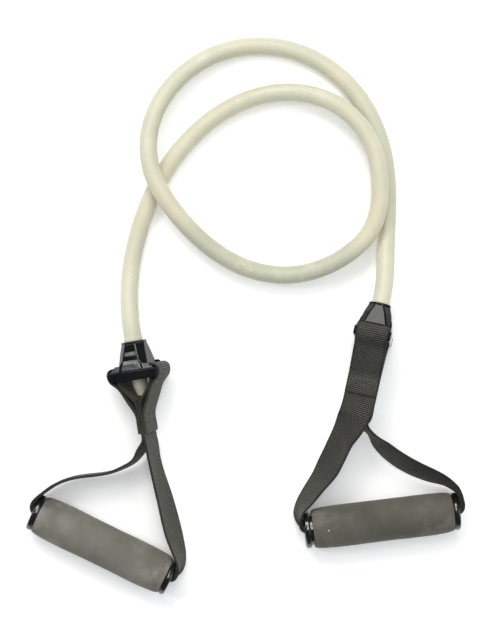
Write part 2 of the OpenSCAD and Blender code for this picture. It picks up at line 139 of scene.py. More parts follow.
# ---------------------------------------------------------------- dimensions
# the tube, its straight stub above the mouth and the plug that swells its end
TUBE_R, TUBE_BORE_R = 7.0, 3.5
STUB = 6.0
PLUG_R = 9.6 / 2
BULGE_R = PLUG_R + 3.35
# the connector: body, rails along its foot and two crossbars between them
CONN_LEN, BODY_X = 30.0, 12.2
BAR_X, BAR_D, RAIL_H = 18.0, 5.0, 7.2
RAIL_Z = CONN_LEN - RAIL_H
BAR_Z = CONN_LEN - RAIL_H / 2 - 1.2
# the webbing, narrower inside the handle
WEB_W, WEB_T, WEB_W_IN = 25.4, 1.8, 21.4
WEB_END, FOLD_Z = 73.0, 77.0
LAY = WEB_T + 0.05          # pitch of the layers in the sewn block
START_Z = FOLD_Z + 1.5      # where the legs begin
# the inner and outer faces of the rails
GAP_Y = WEB_W / 2 + 0.35
CHEEK_Y = GAP_Y + 1.5
# the webbing's centre line round a crossbar
ROLL_RX, ROLL_RZ = BAR_D / 2 + 0.5 + WEB_T / 2, BAR_D / 2 + 1.1 + WEB_T / 2
ROLL_X, ROLL_Z = BAR_X - 0.15, BAR_Z - 0.5
# the handle: foam sleeve, core tube and end caps
FOAM_R, FOAM_HALF = 33.0 / 2, 112.0 / 2
CORE_R, CORE_BORE_R = 28.0 / 2, 25.4 / 2
CAP_R, CAP_T, CAP_BORE_R, SPIGOT = 29.6 / 2, 4.8, 23.0 / 2, 13.0
RIGHT_INNER_CAP_OUT = 2.0   # the right handle's inner cap stands out by this much
FACE = CAP_T + FOAM_HALF


# ---------------------------------------------------------------- curves
def spline_bends(knots, start_way, end_way):
    """Gaps and second derivatives of the clamped cubic spline through the knots."""
    gaps = np.linalg.norm(np.diff(knots, axis=0), axis=1)
    slopes = np.diff(knots, axis=0) / gaps[:, None]
    change = 6 * np.diff(np.vstack([start_way, slopes, end_way]), axis=0)
    system = np.zeros((len(knots), len(knots)))
    for i, gap in enumerate(gaps):
        system[i:i + 2, i:i + 2] += gap * np.array([[2, 1], [1, 2]])
    return gaps, np.linalg.solve(system, change)


def curve(knots, start_way, end_way, first=0, last=None, step=0.2):
    """Fine points along the spline from knot first to knot last, with each one's knot position."""
    knots = np.asarray(knots, float)
    gaps, bends = spline_bends(knots, unit(start_way), unit(end_way))
    last = len(knots) - 1 if last is None else last
    points, places = [], []
    for i in range(first, last):
        count = max(4, math.ceil(gaps[i] / step))
        done = np.linspace(0, 1, count, endpoint=False)[:, None]
        left = 1 - done
        bow = (left**3 - left) * bends[i] + (done**3 - done) * bends[i + 1]
        points.append(left * knots[i] + done * knots[i + 1] + gaps[i] ** 2 / 6 * bow)
        places.append(i + done[:, 0])
    points.append(knots[last][None])
    places.append([float(last)])
    return np.vstack(points), np.concatenate(places)


def arc_length(points):
    steps = np.linalg.norm(np.diff(points, axis=0), axis=1)
    return np.concatenate([[0.0], np.cumsum(steps)])


def even(points, count):
    """count evenly spaced points along a line, and their distances along it."""
    length = arc_length(points)
    distance = np.linspace(0, length[-1], count)
    return np.stack([np.interp(distance, length, axis) for axis in points.T], 1), distance


def headings(points):
    return unit(np.gradient(points, axis=0))


def flow(values, places):
    """Catmull-Rom interpolation of per-knot rows of values."""
    values = np.asarray(values, float)
    last = len(values) - 1
    i = np.clip(np.floor(places).astype(int), 0, last - 1)
    part = (places - i)[:, None]
    before, start = values[np.maximum(i - 1, 0)], values[i]
    stop, after = values[i + 1], values[np.minimum(i + 2, last)]
    return 0.5 * (2 * start + (stop - before) * part
                  + (2 * before - 5 * start + 4 * stop - after) * part**2
                  + (3 * start - before - 3 * stop + after) * part**3)


# ---------------------------------------------------------------- meshes
def make_object(name, points, faces, uvs, material,
                normals=None, attributes=None, sharp=None):
    """points in millimetres; faces has one array per face size, uvs one pair per corner."""
    mesh = bpy.data.meshes.new(name)
    points = np.asarray(points, float).reshape(-1, 3) * MM
    mesh.vertices.add(len(points))
    mesh.vertices.foreach_set("co", points.astype(np.float32).ravel())
    loops = np.concatenate([face.ravel() for face in faces])
    sizes = np.concatenate([np.full(len(face), face.shape[1]) for face in faces])
    starts = np.concatenate([[0], np.cumsum(sizes)[:-1]])
    mesh.loops.add(len(loops))
    mesh.loops.foreach_set("vertex_index", loops.astype(np.int32))
    mesh.polygons.add(len(sizes))
    mesh.polygons.foreach_set("loop_start", starts.astype(np.int32))
    mesh.polygons.foreach_set("use_smooth", np.ones(len(sizes), bool))
    corner_uvs = np.concatenate([part.reshape(-1, 2) for part in uvs])
    layer = mesh.uv_layers.new(name="UVMap")
    layer.data.foreach_set("uv", corner_uvs.astype(np.float32).ravel())
    for key, value in (attributes or {}).items():
        add_attribute(mesh, key, value)
    mesh.update(calc_edges=True)
    mesh.validate()
    if sharp is not None:
        mesh.set_sharp_from_angle(angle=math.radians(sharp))
    if normals is not None:
        mesh.normals_split_custom_set_from_vertices([tuple(normal) for normal in normals])
    obj = bpy.data.objects.new(name, mesh)
    bpy.context.scene.collection.objects.link(obj)
    mesh.materials.append(material)
    return obj


def add_attribute(mesh, name, values):
    attribute = mesh.attributes.new(name, "FLOAT", "POINT")
    attribute.data.foreach_set("value", np.asarray(values, np.float32).ravel())


def grid(rings, sides, wrap_rings=False):
    """Quads over rings of points, and each corner's (ring, side) before wrapping."""
    last = rings if wrap_rings else rings - 1
    i, k = np.meshgrid(np.arange(last), np.arange(sides), indexing="ij")
    i, k = i.ravel(), k.ravel()
    corners = [(i, k), (i, k + 1), (i + 1, k + 1), (i + 1, k)]
    quads = np.stack([(ring % rings) * sides + (side % sides) for ring, side in corners], 1)
    where = np.stack([np.stack(corner, 1) for corner in corners], 1)
    return quads, where


def face_out(quads, where, points):
    """Turns the quads over if the volume they span with the origin isn't positive.

    The third value returned says whether they were turned."""
    a, b, c, d = (np.asarray(points, float).reshape(-1, 3)[quads[:, i]] for i in range(4))
    volume = np.einsum("ij,ij->i", a, np.cross(b, c)).sum()
    volume += np.einsum("ij,ij->i", a, np.cross(c, d)).sum()
    if volume > 0:
        return quads, where, False
    return quads[:, ::-1], where[:, ::-1], True


def lathe(end, name, profile, segments, material, ripple=None, sharp=None):
    """A closed profile of (x, radius) turned round the handle's axis."""
    x = np.repeat(profile[:, :1], segments, 1)
    radius = np.repeat(profile[:, 1:2], segments, 1)
    angle = np.repeat(ring_angles(segments)[None], len(profile), 0)
    if ripple is not None:
        x, radius = ripple(x, radius, angle)
    points = end.place_handle(np.stack([x, radius * np.cos(angle), radius * np.sin(angle)], -1))
    quads, where, _ = face_out(*grid(len(profile), segments, wrap_rings=True), points)
    length = arc_length(np.vstack([profile, profile[:1]]))
    uvs = np.stack([length[where[..., 0]] * MM * 10, where[..., 1] / segments], -1)
    return make_object(name, points, [quads], [uvs], material, sharp=sharp)


def rounded(outline, steps):
    """Rounds the corners of a closed outline of (x, radius, most length to take off a side)."""
    outline = np.array(outline, float)
    corners, points = outline[:, :2], []
    for i, corner in enumerate(corners):
        before, after = corners[i - 1] - corner, corners[(i + 1) % len(corners)] - corner
        length_before, length_after = np.linalg.norm(before), np.linalg.norm(after)
        reach = min(outline[i, 2], length_before * 0.45, length_after * 0.45)
        start = corner + before / length_before * reach
        stop = corner + after / length_after * reach
        for k in range(steps + 1):
            part = k / steps
            points.append((1 - part) ** 2 * start + 2 * part * (1 - part) * corner
                          + part * part * stop)
    return np.array(points)


def dense(outline, step):
    """Adds points along the sides of a closed outline."""
    points = []
    for start, stop in zip(outline, np.roll(outline, -1, axis=0)):
        count = max(1, int(np.linalg.norm(stop - start) / step))
        points += [start + (stop - start) * j / count for j in range(count)]
    return np.array(points)


# ---------------------------------------------------------------- node materials
class Mat:
    """A Principled material and short ways to add nodes to it."""

    def __init__(self, name):
        self.material = bpy.data.materials.new(name)
        self.material.use_nodes = True
        self.nodes = self.material.node_tree.nodes
        self.bsdf = next(node for node in self.nodes if node.type == "BSDF_PRINCIPLED")

    @cached_property
    def coord(self):
        return self.nodes.new("ShaderNodeTexCoord").outputs

    def node(self, kind, inputs, **props):
        node = self.nodes.new("ShaderNode" + kind)
        for key, value in props.items():
            setattr(node, key, value)
        for key, value in inputs.items():
            self.put(node.inputs[key], value)
        return node

    def put(self, socket, value):
        if isinstance(value, bpy.types.NodeSocket):
            self.material.node_tree.links.new(value, socket)
            return
        if socket.type == "RGBA" and len(value) == 3:
            value = (*value, 1.0)
        socket.default_value = value

    def surface(self, **inputs):
        for key, value in inputs.items():
            self.put(self.bsdf.inputs[key.replace("_", " ")], value)
        return self.material

    def noise(self, scale, detail, rough=0.55, vector=None, distortion=0.0):
        vector = self.coord["Object"] if vector is None else vector
        return self.node("TexNoise", {"Vector": vector, "Scale": scale, "Detail": detail,
                                      "Roughness": rough, "Distortion": distortion}).outputs[0]

    def stretch(self, source, scale):
        return self.node("Mapping", {"Vector": source, "Scale": scale}).outputs[0]

    def cells(self, scale):
        return self.node("TexVoronoi", {"Vector": self.coord["Object"], "Scale": scale}).outputs

    def split(self, source):
        return self.node("SeparateXYZ", {"Vector": source}).outputs

    def math(self, operation, first, second=0.0):
        inputs = {0: first, 1: second, 2: 0.0}
        return self.node("Math", inputs, operation=operation).outputs[0]

    def ramp(self, value, over, to=(0.0, 1.0)):
        """Smooth change between the two values of to as value crosses over."""
        return self.node("MapRange", {"Value": value, "From Min": over[0], "From Max": over[1],
                                      "To Min": to[0], "To Max": to[1]},
                         interpolation_type="SMOOTHSTEP").outputs[0]

    def mix(self, share, base, other):
        node = self.node("Mix", {0: share}, data_type="RGBA")
        sockets = [socket for socket in node.inputs if socket.type == "RGBA"]
        self.put(sockets[0], base)
        self.put(sockets[1], other)
        return next(socket for socket in node.outputs if socket.type == "RGBA")

    def attribute(self, name):
        return self.node("Attribute", {}, attribute_name=name).outputs["Fac"]

    def bump(self, height, strength, distance, under=None):
        inputs = {"Height": height, "Strength": strength, "Distance": distance}
        if under is not None:
            inputs["Normal"] = under
        return self.node("Bump", inputs).outputs[0]

    def specks(self, scale, size, share):
        """1 inside sparse small specks, 0 elsewhere."""
        cells = self.cells(scale)
        near = self.math("LESS_THAN", cells["Distance"], size)
        chosen = self.math("LESS_THAN", self.split(cells["Color"])[0], share)
        return self.math("MULTIPLY", near, chosen)


def shade(colour, factor):
    return tuple(channel * factor for channel in colour)


def latex_material():
    mat = Mat("latex_tube")
    warm, cool, pale = (0.585, 0.540, 0.395), (0.515, 0.522, 0.405), (0.630, 0.602, 0.465)
    green_painted_light, painted_shade, stained = (0.600, 0.606, 0.470), (0.430, 0.440, 0.342), (0.40, 0.375, 0.285)
    bloom, white, dark = (0.80, 0.79, 0.72), (0.93, 0.92, 0.88), (0.16, 0.15, 0.11)
    cloud = mat.noise(scale=11, detail=3)
    mottle = mat.noise(scale=70, detail=4, rough=0.6)
    grain = mat.noise(scale=1500, detail=2)
    colour = mat.mix(mat.ramp(cloud, over=(0.35, 0.65)), cool, warm)
    # greener and paler at low y, far out to each side: a greener tint of the rubber, with painted
    # light where these strands are lit
    spread = mat.split(mat.coord["Object"])
    outer = mat.ramp(spread[1], over=(0.085, -0.01))
    side = mat.ramp(mat.math("ABSOLUTE", spread[0]), over=(0.072, 0.098))
    outer = mat.math("MULTIPLY", outer, side)
    colour = mat.mix(mat.math("MULTIPLY", outer, 0.9), colour, green_painted_light)
    # darker at low y, nearer the middle: painted shade
    low = mat.ramp(spread[1], over=(0.085, 0.060))
    middle = mat.ramp(mat.math("ABSOLUTE", spread[0]), over=(0.098, 0.075))
    near = mat.math("MULTIPLY", low, middle)
    colour = mat.mix(mat.math("MULTIPLY", near, 0.85), colour, painted_shade)
    colour = mat.mix(mat.ramp(mottle, over=(0.45, 0.75), to=(0.0, 0.5)), colour, pale)
    stain = mat.noise(scale=33, detail=5, rough=0.65, distortion=0.4)
    colour = mat.mix(mat.ramp(stain, over=(0.60, 0.78), to=(0.0, 0.30)), colour, stained)
    # bloom and dust on the rubber
    dust = mat.noise(scale=420, detail=3, rough=0.7)
    colour = mat.mix(mat.ramp(dust, over=(0.62, 0.80), to=(0.0, 0.22)), colour, bloom)
    colour = mat.mix(mat.specks(scale=190, size=0.07, share=0.10), colour, white)
    colour = mat.mix(mat.specks(scale=150, size=0.045, share=0.07), colour, dark)
    smear = mat.noise(scale=120, detail=4, rough=0.6)
    rough = mat.ramp(smear, over=(0.3, 0.7), to=(0.40, 0.56))
    bump = mat.bump(mat.noise(scale=240, detail=3), strength=0.10, distance=0.0004)
    bump = mat.bump(grain, strength=0.06, distance=0.0002, under=bump)
    return mat.surface(
        Base_Color=colour, Roughness=rough, Specular_IOR_Level=0.42, Subsurface_Weight=0.08,
        Subsurface_Radius=(1.0, 0.75, 0.45), Subsurface_Scale=0.002, Coat_Weight=0.06,
        Coat_Roughness=0.20, Normal=bump)


def webbing_material(name, light):
    mat = Mat(name)
    # light scales every colour here, so one webbing becomes a lit copy and a shaded copy: painted
    # light and shade
    painted_shade_dark = shade((0.004, 0.004, 0.003), light)
    body = shade((0.040, 0.040, 0.032), light)
    painted_crest_highlight = shade((0.330, 0.322, 0.262), light)
    lint_grey, fleck = (0.30, 0.29, 0.27), (0.62, 0.62, 0.60)
    crest, edge = mat.attribute("crest"), mat.attribute("edge")
    lengthways = mat.stretch(mat.coord["UV"], (900.0, 5200.0, 1.0))
    fibre = mat.noise(scale=1.0, detail=3, rough=0.7, vector=lengthways)
    patch = mat.noise(scale=38, detail=4, rough=0.6)
    # painted shade in the rib valleys and a painted highlight on the rib crests, led by the crest
    # attribute
    colour = mat.mix(mat.ramp(crest, over=(0.12, 0.60)), painted_shade_dark, body)
    top, strand = mat.ramp(crest, over=(0.50, 0.92)), mat.ramp(fibre, over=(0.36, 0.60))
    colour = mat.mix(mat.math("MULTIPLY", top, strand), colour, painted_crest_highlight)
    faded = mat.ramp(patch, over=(0.38, 0.70), to=(0.0, 0.32))
    colour = mat.mix(faded, colour, shade(body, 1.9))
    # painted shade along the webbing's edges
    colour = mat.mix(mat.math("MULTIPLY", edge, 0.35), colour, painted_shade_dark)
    # lint and scuffs
    lint = mat.noise(scale=260, detail=5, rough=0.75, distortion=0.8)
    colour = mat.mix(mat.ramp(lint, over=(0.70, 0.80), to=(0.0, 0.5)), colour, lint_grey)
    colour = mat.mix(mat.specks(scale=210, size=0.06, share=0.05), colour, fleck)
    thread = mat.bump(fibre, strength=0.5, distance=0.00012)
    return mat.surface(
        Base_Color=colour, Roughness=mat.ramp(fibre, over=(0.3, 0.7), to=(0.55, 0.80)),
        Specular_IOR_Level=0.32, Sheen_Weight=0.10, Sheen_Roughness=0.45,
        Sheen_Tint=(0.75, 0.74, 0.68), Normal=thread)


def foam_material(name, base, scuff):
    mat = Mat(name)
    cells = mat.cells(scale=1500.0)["Distance"]
    fine = mat.noise(scale=2600, detail=3, rough=0.7)
    cloud = mat.noise(scale=22, detail=4, rough=0.55)
    wear = mat.noise(scale=48, detail=5, rough=0.62, distortion=0.3)
    ends = mat.attribute("ends")
    colour = mat.mix(mat.ramp(cloud, over=(0.36, 0.66)), shade(base, 0.80), shade(base, 1.12))
    # scuffs, heaviest towards the ends
    worn = mat.ramp(wear, over=(0.42, 0.70))
    towards_ends = mat.math("ADD", mat.math("MULTIPLY", ends, 0.75), 0.25)
    colour = mat.mix(mat.math("MULTIPLY", worn, towards_ends), colour, scuff)
    light_grain = mat.ramp(fine, over=(0.35, 0.75), to=(0.0, 0.30))
    colour = mat.mix(light_grain, colour, shade(base, 1.5))
    # painted shade in the pores
    pore_shade = mat.ramp(cells, over=(0.0, 0.25), to=(0.28, 0.0))
    colour = mat.mix(pore_shade, colour, shade(base, 0.35))
    dust = mat.specks(scale=120, size=0.055, share=0.10)
    colour = mat.mix(dust, colour, (0.72, 0.71, 0.66))
    colour = mat.mix(mat.specks(scale=300, size=0.09, share=0.05), colour, shade(base, 2.4))
    lumps = mat.noise(scale=330, detail=4, rough=0.6)
    bump = mat.bump(lumps, strength=0.22, distance=0.0005)
    bump = mat.bump(cells, strength=0.35, distance=0.00025, under=bump)
    return mat.surface(
        Base_Color=colour, Roughness=mat.ramp(fine, over=(0.3, 0.7), to=(0.80, 0.95)),
        Specular_IOR_Level=0.25, Sheen_Weight=0.12, Sheen_Roughness=0.6,
        Sheen_Tint=(0.9, 0.88, 0.82), Normal=bump)


def gloss_material(name, base, rough, dusty, specular):
    """Black moulded plastic; rough is its range of roughness, dusty scales its dust."""
    mat = Mat(name)
    smear = mat.noise(scale=60, detail=4, rough=0.6, distortion=0.5)
    grain = mat.noise(scale=900, detail=3, rough=0.6)
    streaks = mat.stretch(mat.coord["Object"], (160.0, 1900.0, 700.0))
    scratch = mat.noise(scale=1.0, detail=2, rough=0.6, vector=streaks)
    dust = mat.noise(scale=520, detail=5, rough=0.75)
    colour = mat.mix(mat.ramp(smear, over=(0.35, 0.7)), base, shade(base, 1.9))
    film = mat.ramp(dust, over=(0.62, 0.82), to=(0.0, 0.10 * dusty))
    colour = mat.mix(film, colour, (0.42, 0.42, 0.40))
    flecks = mat.specks(scale=420, size=0.07, share=0.05 * dusty)
    colour = mat.mix(flecks, colour, (0.55, 0.55, 0.53))
    smeared = mat.ramp(smear, over=(0.3, 0.75), to=rough)
    scratched = mat.ramp(scratch, over=(0.60, 0.76), to=(0.0, 0.12))
    roughness = mat.math("ADD", smeared, scratched)
    bump = mat.bump(mat.noise(scale=170, detail=2), strength=0.05, distance=0.0005)
    bump = mat.bump(grain, strength=0.03, distance=0.0001, under=bump)
    return mat.surface(Base_Color=colour, Roughness=roughness, Specular_IOR_Level=specular,
                       IOR=1.5, Normal=bump)


def thread_material():
    mat = Mat("stitch_thread")
    strands = mat.stretch(mat.coord["UV"], (60.0, 4.0, 1.0))
    twist = mat.noise(scale=1.0, detail=2, rough=0.6, vector=strands)
    dark, light = (0.030, 0.030, 0.027), (0.115, 0.113, 0.104)
    colour = mat.mix(mat.ramp(twist, over=(0.35, 0.65)), dark, light)
    return mat.surface(Base_Color=colour, Roughness=0.55, Specular_IOR_Level=0.45,
                       Sheen_Weight=0.15, Normal=mat.bump(twist, strength=0.5, distance=0.0001))


def plug_material():
    mat = Mat("stopper_plastic")
    cloud = mat.ramp(mat.noise(scale=160, detail=4), over=(0.35, 0.7))
    colour = mat.mix(cloud, (0.70, 0.70, 0.66), (0.80, 0.80, 0.77))
    bump = mat.bump(mat.noise(scale=900, detail=3), strength=0.08, distance=0.0002)
    return mat.surface(Base_Color=colour, Roughness=0.45, Subsurface_Weight=0.1,
                       Subsurface_Radius=(1, 1, 1), Subsurface_Scale=0.002, Normal=bump)


def core_material():
    mat = Mat("core_tube_plastic")
    streaks = mat.stretch(mat.coord["Object"], (40.0, 40.0, 1500.0))
    lines = mat.noise(scale=1.0, detail=3, rough=0.5, vector=streaks)
    cloud = mat.ramp(mat.noise(scale=90, detail=4), over=(0.35, 0.7))
    colour = mat.mix(cloud, (0.016, 0.016, 0.016), (0.030, 0.030, 0.029))
    return mat.surface(Base_Color=colour,
                       Roughness=mat.ramp(lines, over=(0.3, 0.7), to=(0.38, 0.55)),
                       Normal=mat.bump(lines, strength=0.12, distance=0.0002))


LATEX = latex_material()
# the same webbing, painted lighter at the left end and darker at the right: painted light and shade
WEBBING = {"left": webbing_material("webbing_left_painted_lighter", light=1.12),
           "right": webbing_material("webbing_right_painted_darker", light=0.84)}
# the same foam, painted lighter on the left handle and darker on the right: painted light and shade
FOAM = {
    "left": foam_material("foam_left_painted_lighter", base=(0.134, 0.128, 0.106), scuff=(0.232, 0.226, 0.194)),
    "right": foam_material("foam_right_painted_darker", base=(0.083, 0.080, 0.064), scuff=(0.150, 0.146, 0.124))}
GLOSS = gloss_material("connector_gloss", base=(0.0045, 0.0048, 0.0055), rough=(0.08, 0.20),
                       dusty=0.35, specular=0.32)
CAP_GLOSS = gloss_material("cap_gloss", base=(0.005, 0.005, 0.0055), rough=(0.12, 0.22),
                           dusty=0.6, specular=0.9)
THREAD, PLUG, CORE = thread_material(), plug_material(), core_material()

# ---------------------------------------------------------------- the tube
# centre line (x, y, z) from the left connector's stub round the coil to the right one's
COURSE = np.array([
    LEFT.at_mouth(0, -STUB),
    (-91.6, 19, 13.8), (-87.4, 56, 7.7), (-70, 104.4, 7.1), (-43, 142.5, 7.2), (-6, 169.4, 8.6),
    (37, 178.5, 13), (76, 166, 18), (100.5, 138, 20.4), (108, 102, 21), (101.5, 69, 19.4),
    (78, 45.8, 16.5), (40, 32.6, 14.6), (2, 37.8, 15), (-34, 60, 18), (-59, 88, 21.2),
    (-71.8, 111, 21.8), (-75.6, 143, 19.6), (-60, 180.5, 14.4), (-24, 209, 9), (20, 216.2, 7.2),
    (64, 201.5, 7.1), (97, 168, 7.1), (113, 124, 7.1), (115.3, 92, 7.1), (113.9, 58, 9.2),
    RIGHT.at_mouth(0, -STUB)])
SPLIT_LEFT, SPLIT_RIGHT = 3, 24     # waypoints where the coil meets the leads
TUBE_SIDES = 44
COIL_STEP, LEAD_STEP = 1.9, 1.6

# the tube's end: (distance past the connector's mouth, radius)
TAIL_OUTSIDE = [
    (-STUB, TUBE_R), (8.5, TUBE_R), (10.5, 7.18), (12.6, 7.92), (14.6, 8.13), (17, BULGE_R),
    (19, 8.13), (21.4, 7.78), (24, 7.36), (27, 7.05), (30, 6.70), (33.5, 6.22), (37, 5.55),
    (40.6, 4.46), (42.6, 3.80), (43.4, 3.52), (43.6, 3.2)]
TAIL_BORE = [
    (-STUB, TUBE_BORE_R), (10.4, TUBE_BORE_R), (14.4, PLUG_R), (20.6, PLUG_R), (26, 3.2),
    (29, 2.6), (36, 1.7), (42.4, 1.25), (43.2, 1.35), (43.6, 1.75)]
TAIL_Z = np.concatenate([np.arange(-STUB + LEAD_STEP, 42.0, 1.1), [42.4, 42.9, 43.25, 43.45, 43.6]])


def tube_piece(name, line, outside, bore, start):
    """A closed thick-walled tube; start is its distance along the whole tube."""
    heading = headings(line)
    side = unit(np.cross(heading, UP))
    up = np.cross(side, heading)
    distance = start + arc_length(line)
    along, angle = np.meshgrid(distance, ring_angles(TUBE_SIDES), indexing="ij")
    spoke = np.cos(angle)[..., None] * side[:, None] + np.sin(angle)[..., None] * up[:, None]
    # a slightly uneven wall
    uneven = 0.05 * ring_noise(along / 31, 1, angle, seed=5)
    uneven = uneven + 0.018 * ring_noise(along / 6, 2.2, angle, seed=9)
    radius = outside[:, None] + uneven * (outside[:, None] / TUBE_R)
    outer = line[:, None] + radius[..., None] * spoke
    inner = line[:, None] + bore[:, None, None] * spoke
    points = np.concatenate([outer, inner[::-1]])
    quads, where, _ = face_out(*grid(len(points), TUBE_SIDES, wrap_rings=True), points)
    there_and_back = np.concatenate([distance, distance[::-1], distance[:1]])
    uvs = np.stack([there_and_back[where[..., 0]] * MM * 20, where[..., 1] / TUBE_SIDES], -1)
    return make_object(name, points, [quads], [uvs], LATEX, sharp=42)


def lead_piece(end, run, start):
    """The tube from the coil to a connector, with its end in the socket, as one piece."""
    line = np.concatenate([run, end.mouth + TAIL_Z[:, None] * end.dir])
    outside = np.concatenate([np.full(len(run), TUBE_R), between(TAIL_OUTSIDE, TAIL_Z)])
    bore = np.concatenate([np.full(len(run), TUBE_BORE_R), between(TAIL_BORE, TAIL_Z)])
    # a soft lip where the rubber swells at the mouth
    z = (line - end.mouth) @ end.dir
    near = np.linalg.norm(line - end.mouth - z[:, None] * end.dir, axis=1) < 3
    outside = outside + np.where(near, 0.42 * np.exp(-((z + 1.3) / 1.5) ** 2), 0)
    lead = tube_piece(f"{end.side}_tube_lead_rubber", line, outside, bore, start)
    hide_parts(f"{end.side}_tube_run", f"{end.side}_tube_end")
    tuple(end.at_mouth(0, -4.0) * MM)
    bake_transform(lead)


def tube_run(first, last, step):
    """Evenly spaced points between two waypoints of the course, and their length."""
    fine = curve(COURSE, -LEFT.dir, RIGHT.dir, first, last)[0]
    length = arc_length(fine)[-1]
    return even(fine, int(length / step))[0], length


left_run, left_length = tube_run(0, SPLIT_LEFT, LEAD_STEP)
coil_run, coil_length = tube_run(SPLIT_LEFT, SPLIT_RIGHT, COIL_STEP)
right_run, _ = tube_run(SPLIT_RIGHT, len(COURSE) - 1, LEAD_STEP)
coil = tube_piece("tube_coil_rubber", coil_run, np.full(len(coil_run), TUBE_R),
                  np.full(len(coil_run), TUBE_BORE_R), left_length)
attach(coil, "tube")
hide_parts("tube_coil")
# the left run is turned round, so that both go from the coil to the connector
lead_piece(LEFT, left_run[::-1], 0.0)
lead_piece(RIGHT, right_run, left_length + coil_length)

# ---------------------------------------------------------------- the connectors
# the body's half widths and the reach of its cut-off corners: (z, |x|), (z, |y|), (z, |x| + |y|)
BODY_HALF_X = [(-2, 9.5), (0, 9.55), (2.2, 9.8), (17, 12.15), (31, BODY_X)]
BODY_HALF_Y = [(-2, 8.3), (0, 8.4), (2.2, 8.7), (8, 10.9), (17, 13.0), (23.2, 14.05), (31, 14.2)]
BODY_CORNER = [(-2, 12.4), (0, 12.5), (2.2, 13.0), (8, 16.4), (17, 20.6), (23.2, 23.2), (31, 24.4)]
DIAGONAL = 0.7071
TAPER = 0.96    # makes distances to the sloping sides true
# the socket's radius (z, r), a little wider than the rubber
SOCKET_GAP = 0.05
SOCKET = [
    (-2, TUBE_R + 1.5), (0, TUBE_R + 0.75), (0.9, TUBE_R + SOCKET_GAP),
    (9.2, TUBE_R + SOCKET_GAP), (12.5, BULGE_R + SOCKET_GAP), (31, BULGE_R + SOCKET_GAP + 0.1)]
CONN_LOW, CONN_HIGH = (-22.0, -16.6, -0.9), (22.0, 16.6, 31.0)
CONN_STEP = 0.42


def smin(a, b, fillet):
    share = np.clip(0.5 + 0.5 * (b - a) / fillet, 0, 1)
    return b + (a - b) * share - fillet * share * (1 - share)


def smax(a, b, fillet):
    return -smin(-a, -b, fillet)


def rounded_rect(off_x, off_z, half_x, half_z, radius):
    x, z = off_x - (half_x - radius), off_z - (half_z - radius)
    outside = np.sqrt(np.maximum(x, 0) ** 2 + np.maximum(z, 0) ** 2)
    return outside + np.minimum(np.maximum(x, z), 0) - radius


def connector_field(x, y, z):
    """Signed distance to the moulded connector, negative inside."""
    off_x, off_y = np.abs(x), np.abs(y)
    # tapered body: two pairs of flat sides and four cut-off corners
    body = smax((off_x - between(BODY_HALF_X, z)) * TAPER,
                (off_y - between(BODY_HALF_Y, z)) * TAPER, fillet=0.7)
    corner = (off_x + off_y - between(BODY_CORNER, z)) * DIAGONAL * TAPER
    body = smax(body, corner, fillet=0.7)
    body = smax(body, -z, fillet=0.9)
    body = smax(body, z - CONN_LEN, fillet=0.8)
    # a narrow collar round the mouth
    collar = smax(off_x - 9.75, off_y - 8.7, fillet=0.8)
    collar = smax(collar, (off_x + off_y - 13.2) * DIAGONAL, fillet=0.8)
    collar = smax(collar, np.abs(z - 1.1) - 0.9, fillet=0.5)
    body = smin(body, collar, fillet=0.35)
    # side plates that run out in a hollow curve to the rail along the foot
    run_out = np.clip((z - 12.0) / (RAIL_Z + 0.6 - 12.0), 0, 1) ** 3.2
    skirt = smax(off_x - (BODY_X + 0.8 + 8.6 * run_out), 11.0 - z, fillet=0.8)
    skirt = smax(skirt, z - (RAIL_Z + 1.5), fillet=0.5)
    skirt = smax(skirt, off_y - between(BODY_HALF_Y[3:], z), fillet=0.5)
    skirt = smax(skirt, GAP_Y - 0.25 - off_y, fillet=0.4)
    rail = rounded_rect(off_x, np.abs(z - (RAIL_Z + CONN_LEN) / 2),
                        half_x=BAR_X + 2.8, half_z=RAIL_H / 2, radius=2.2)
    rail = smax(rail, off_y - CHEEK_Y, fillet=0.7)
    rail = smax(rail, GAP_Y - off_y, fillet=0.4)
    plates = smin(skirt, rail, fillet=0.9)
    # end blocks over the crossbars
    block = rounded_rect(np.abs(off_x - (BAR_X + 0.15)), np.abs(z - (BAR_Z + 0.5)),
                         half_x=2.5, half_z=3.1, radius=1.0)
    block = smax(block, off_y - (CHEEK_Y + 0.12), fillet=0.5)
    block = smax(block, GAP_Y + 0.3 - off_y, fillet=0.4)
    plates = smin(plates, block, fillet=0.5)
    bars = np.sqrt((off_x - BAR_X) ** 2 + (z - BAR_Z) ** 2) - BAR_D / 2
    bars = smax(bars, off_y - (GAP_Y + 0.9), fillet=0.4)
    solid = smin(smin(body, plates, fillet=1.3), bars, fillet=0.7)
    return smax(solid, between(SOCKET, z) - np.sqrt(x * x + y * y), fillet=0.45)


def field_slope(field, points, reach=0.02):
    return np.stack([(field(*(points + reach * axis).T) - field(*(points - reach * axis).T))
                     / (2 * reach) for axis in np.eye(3)], 1)


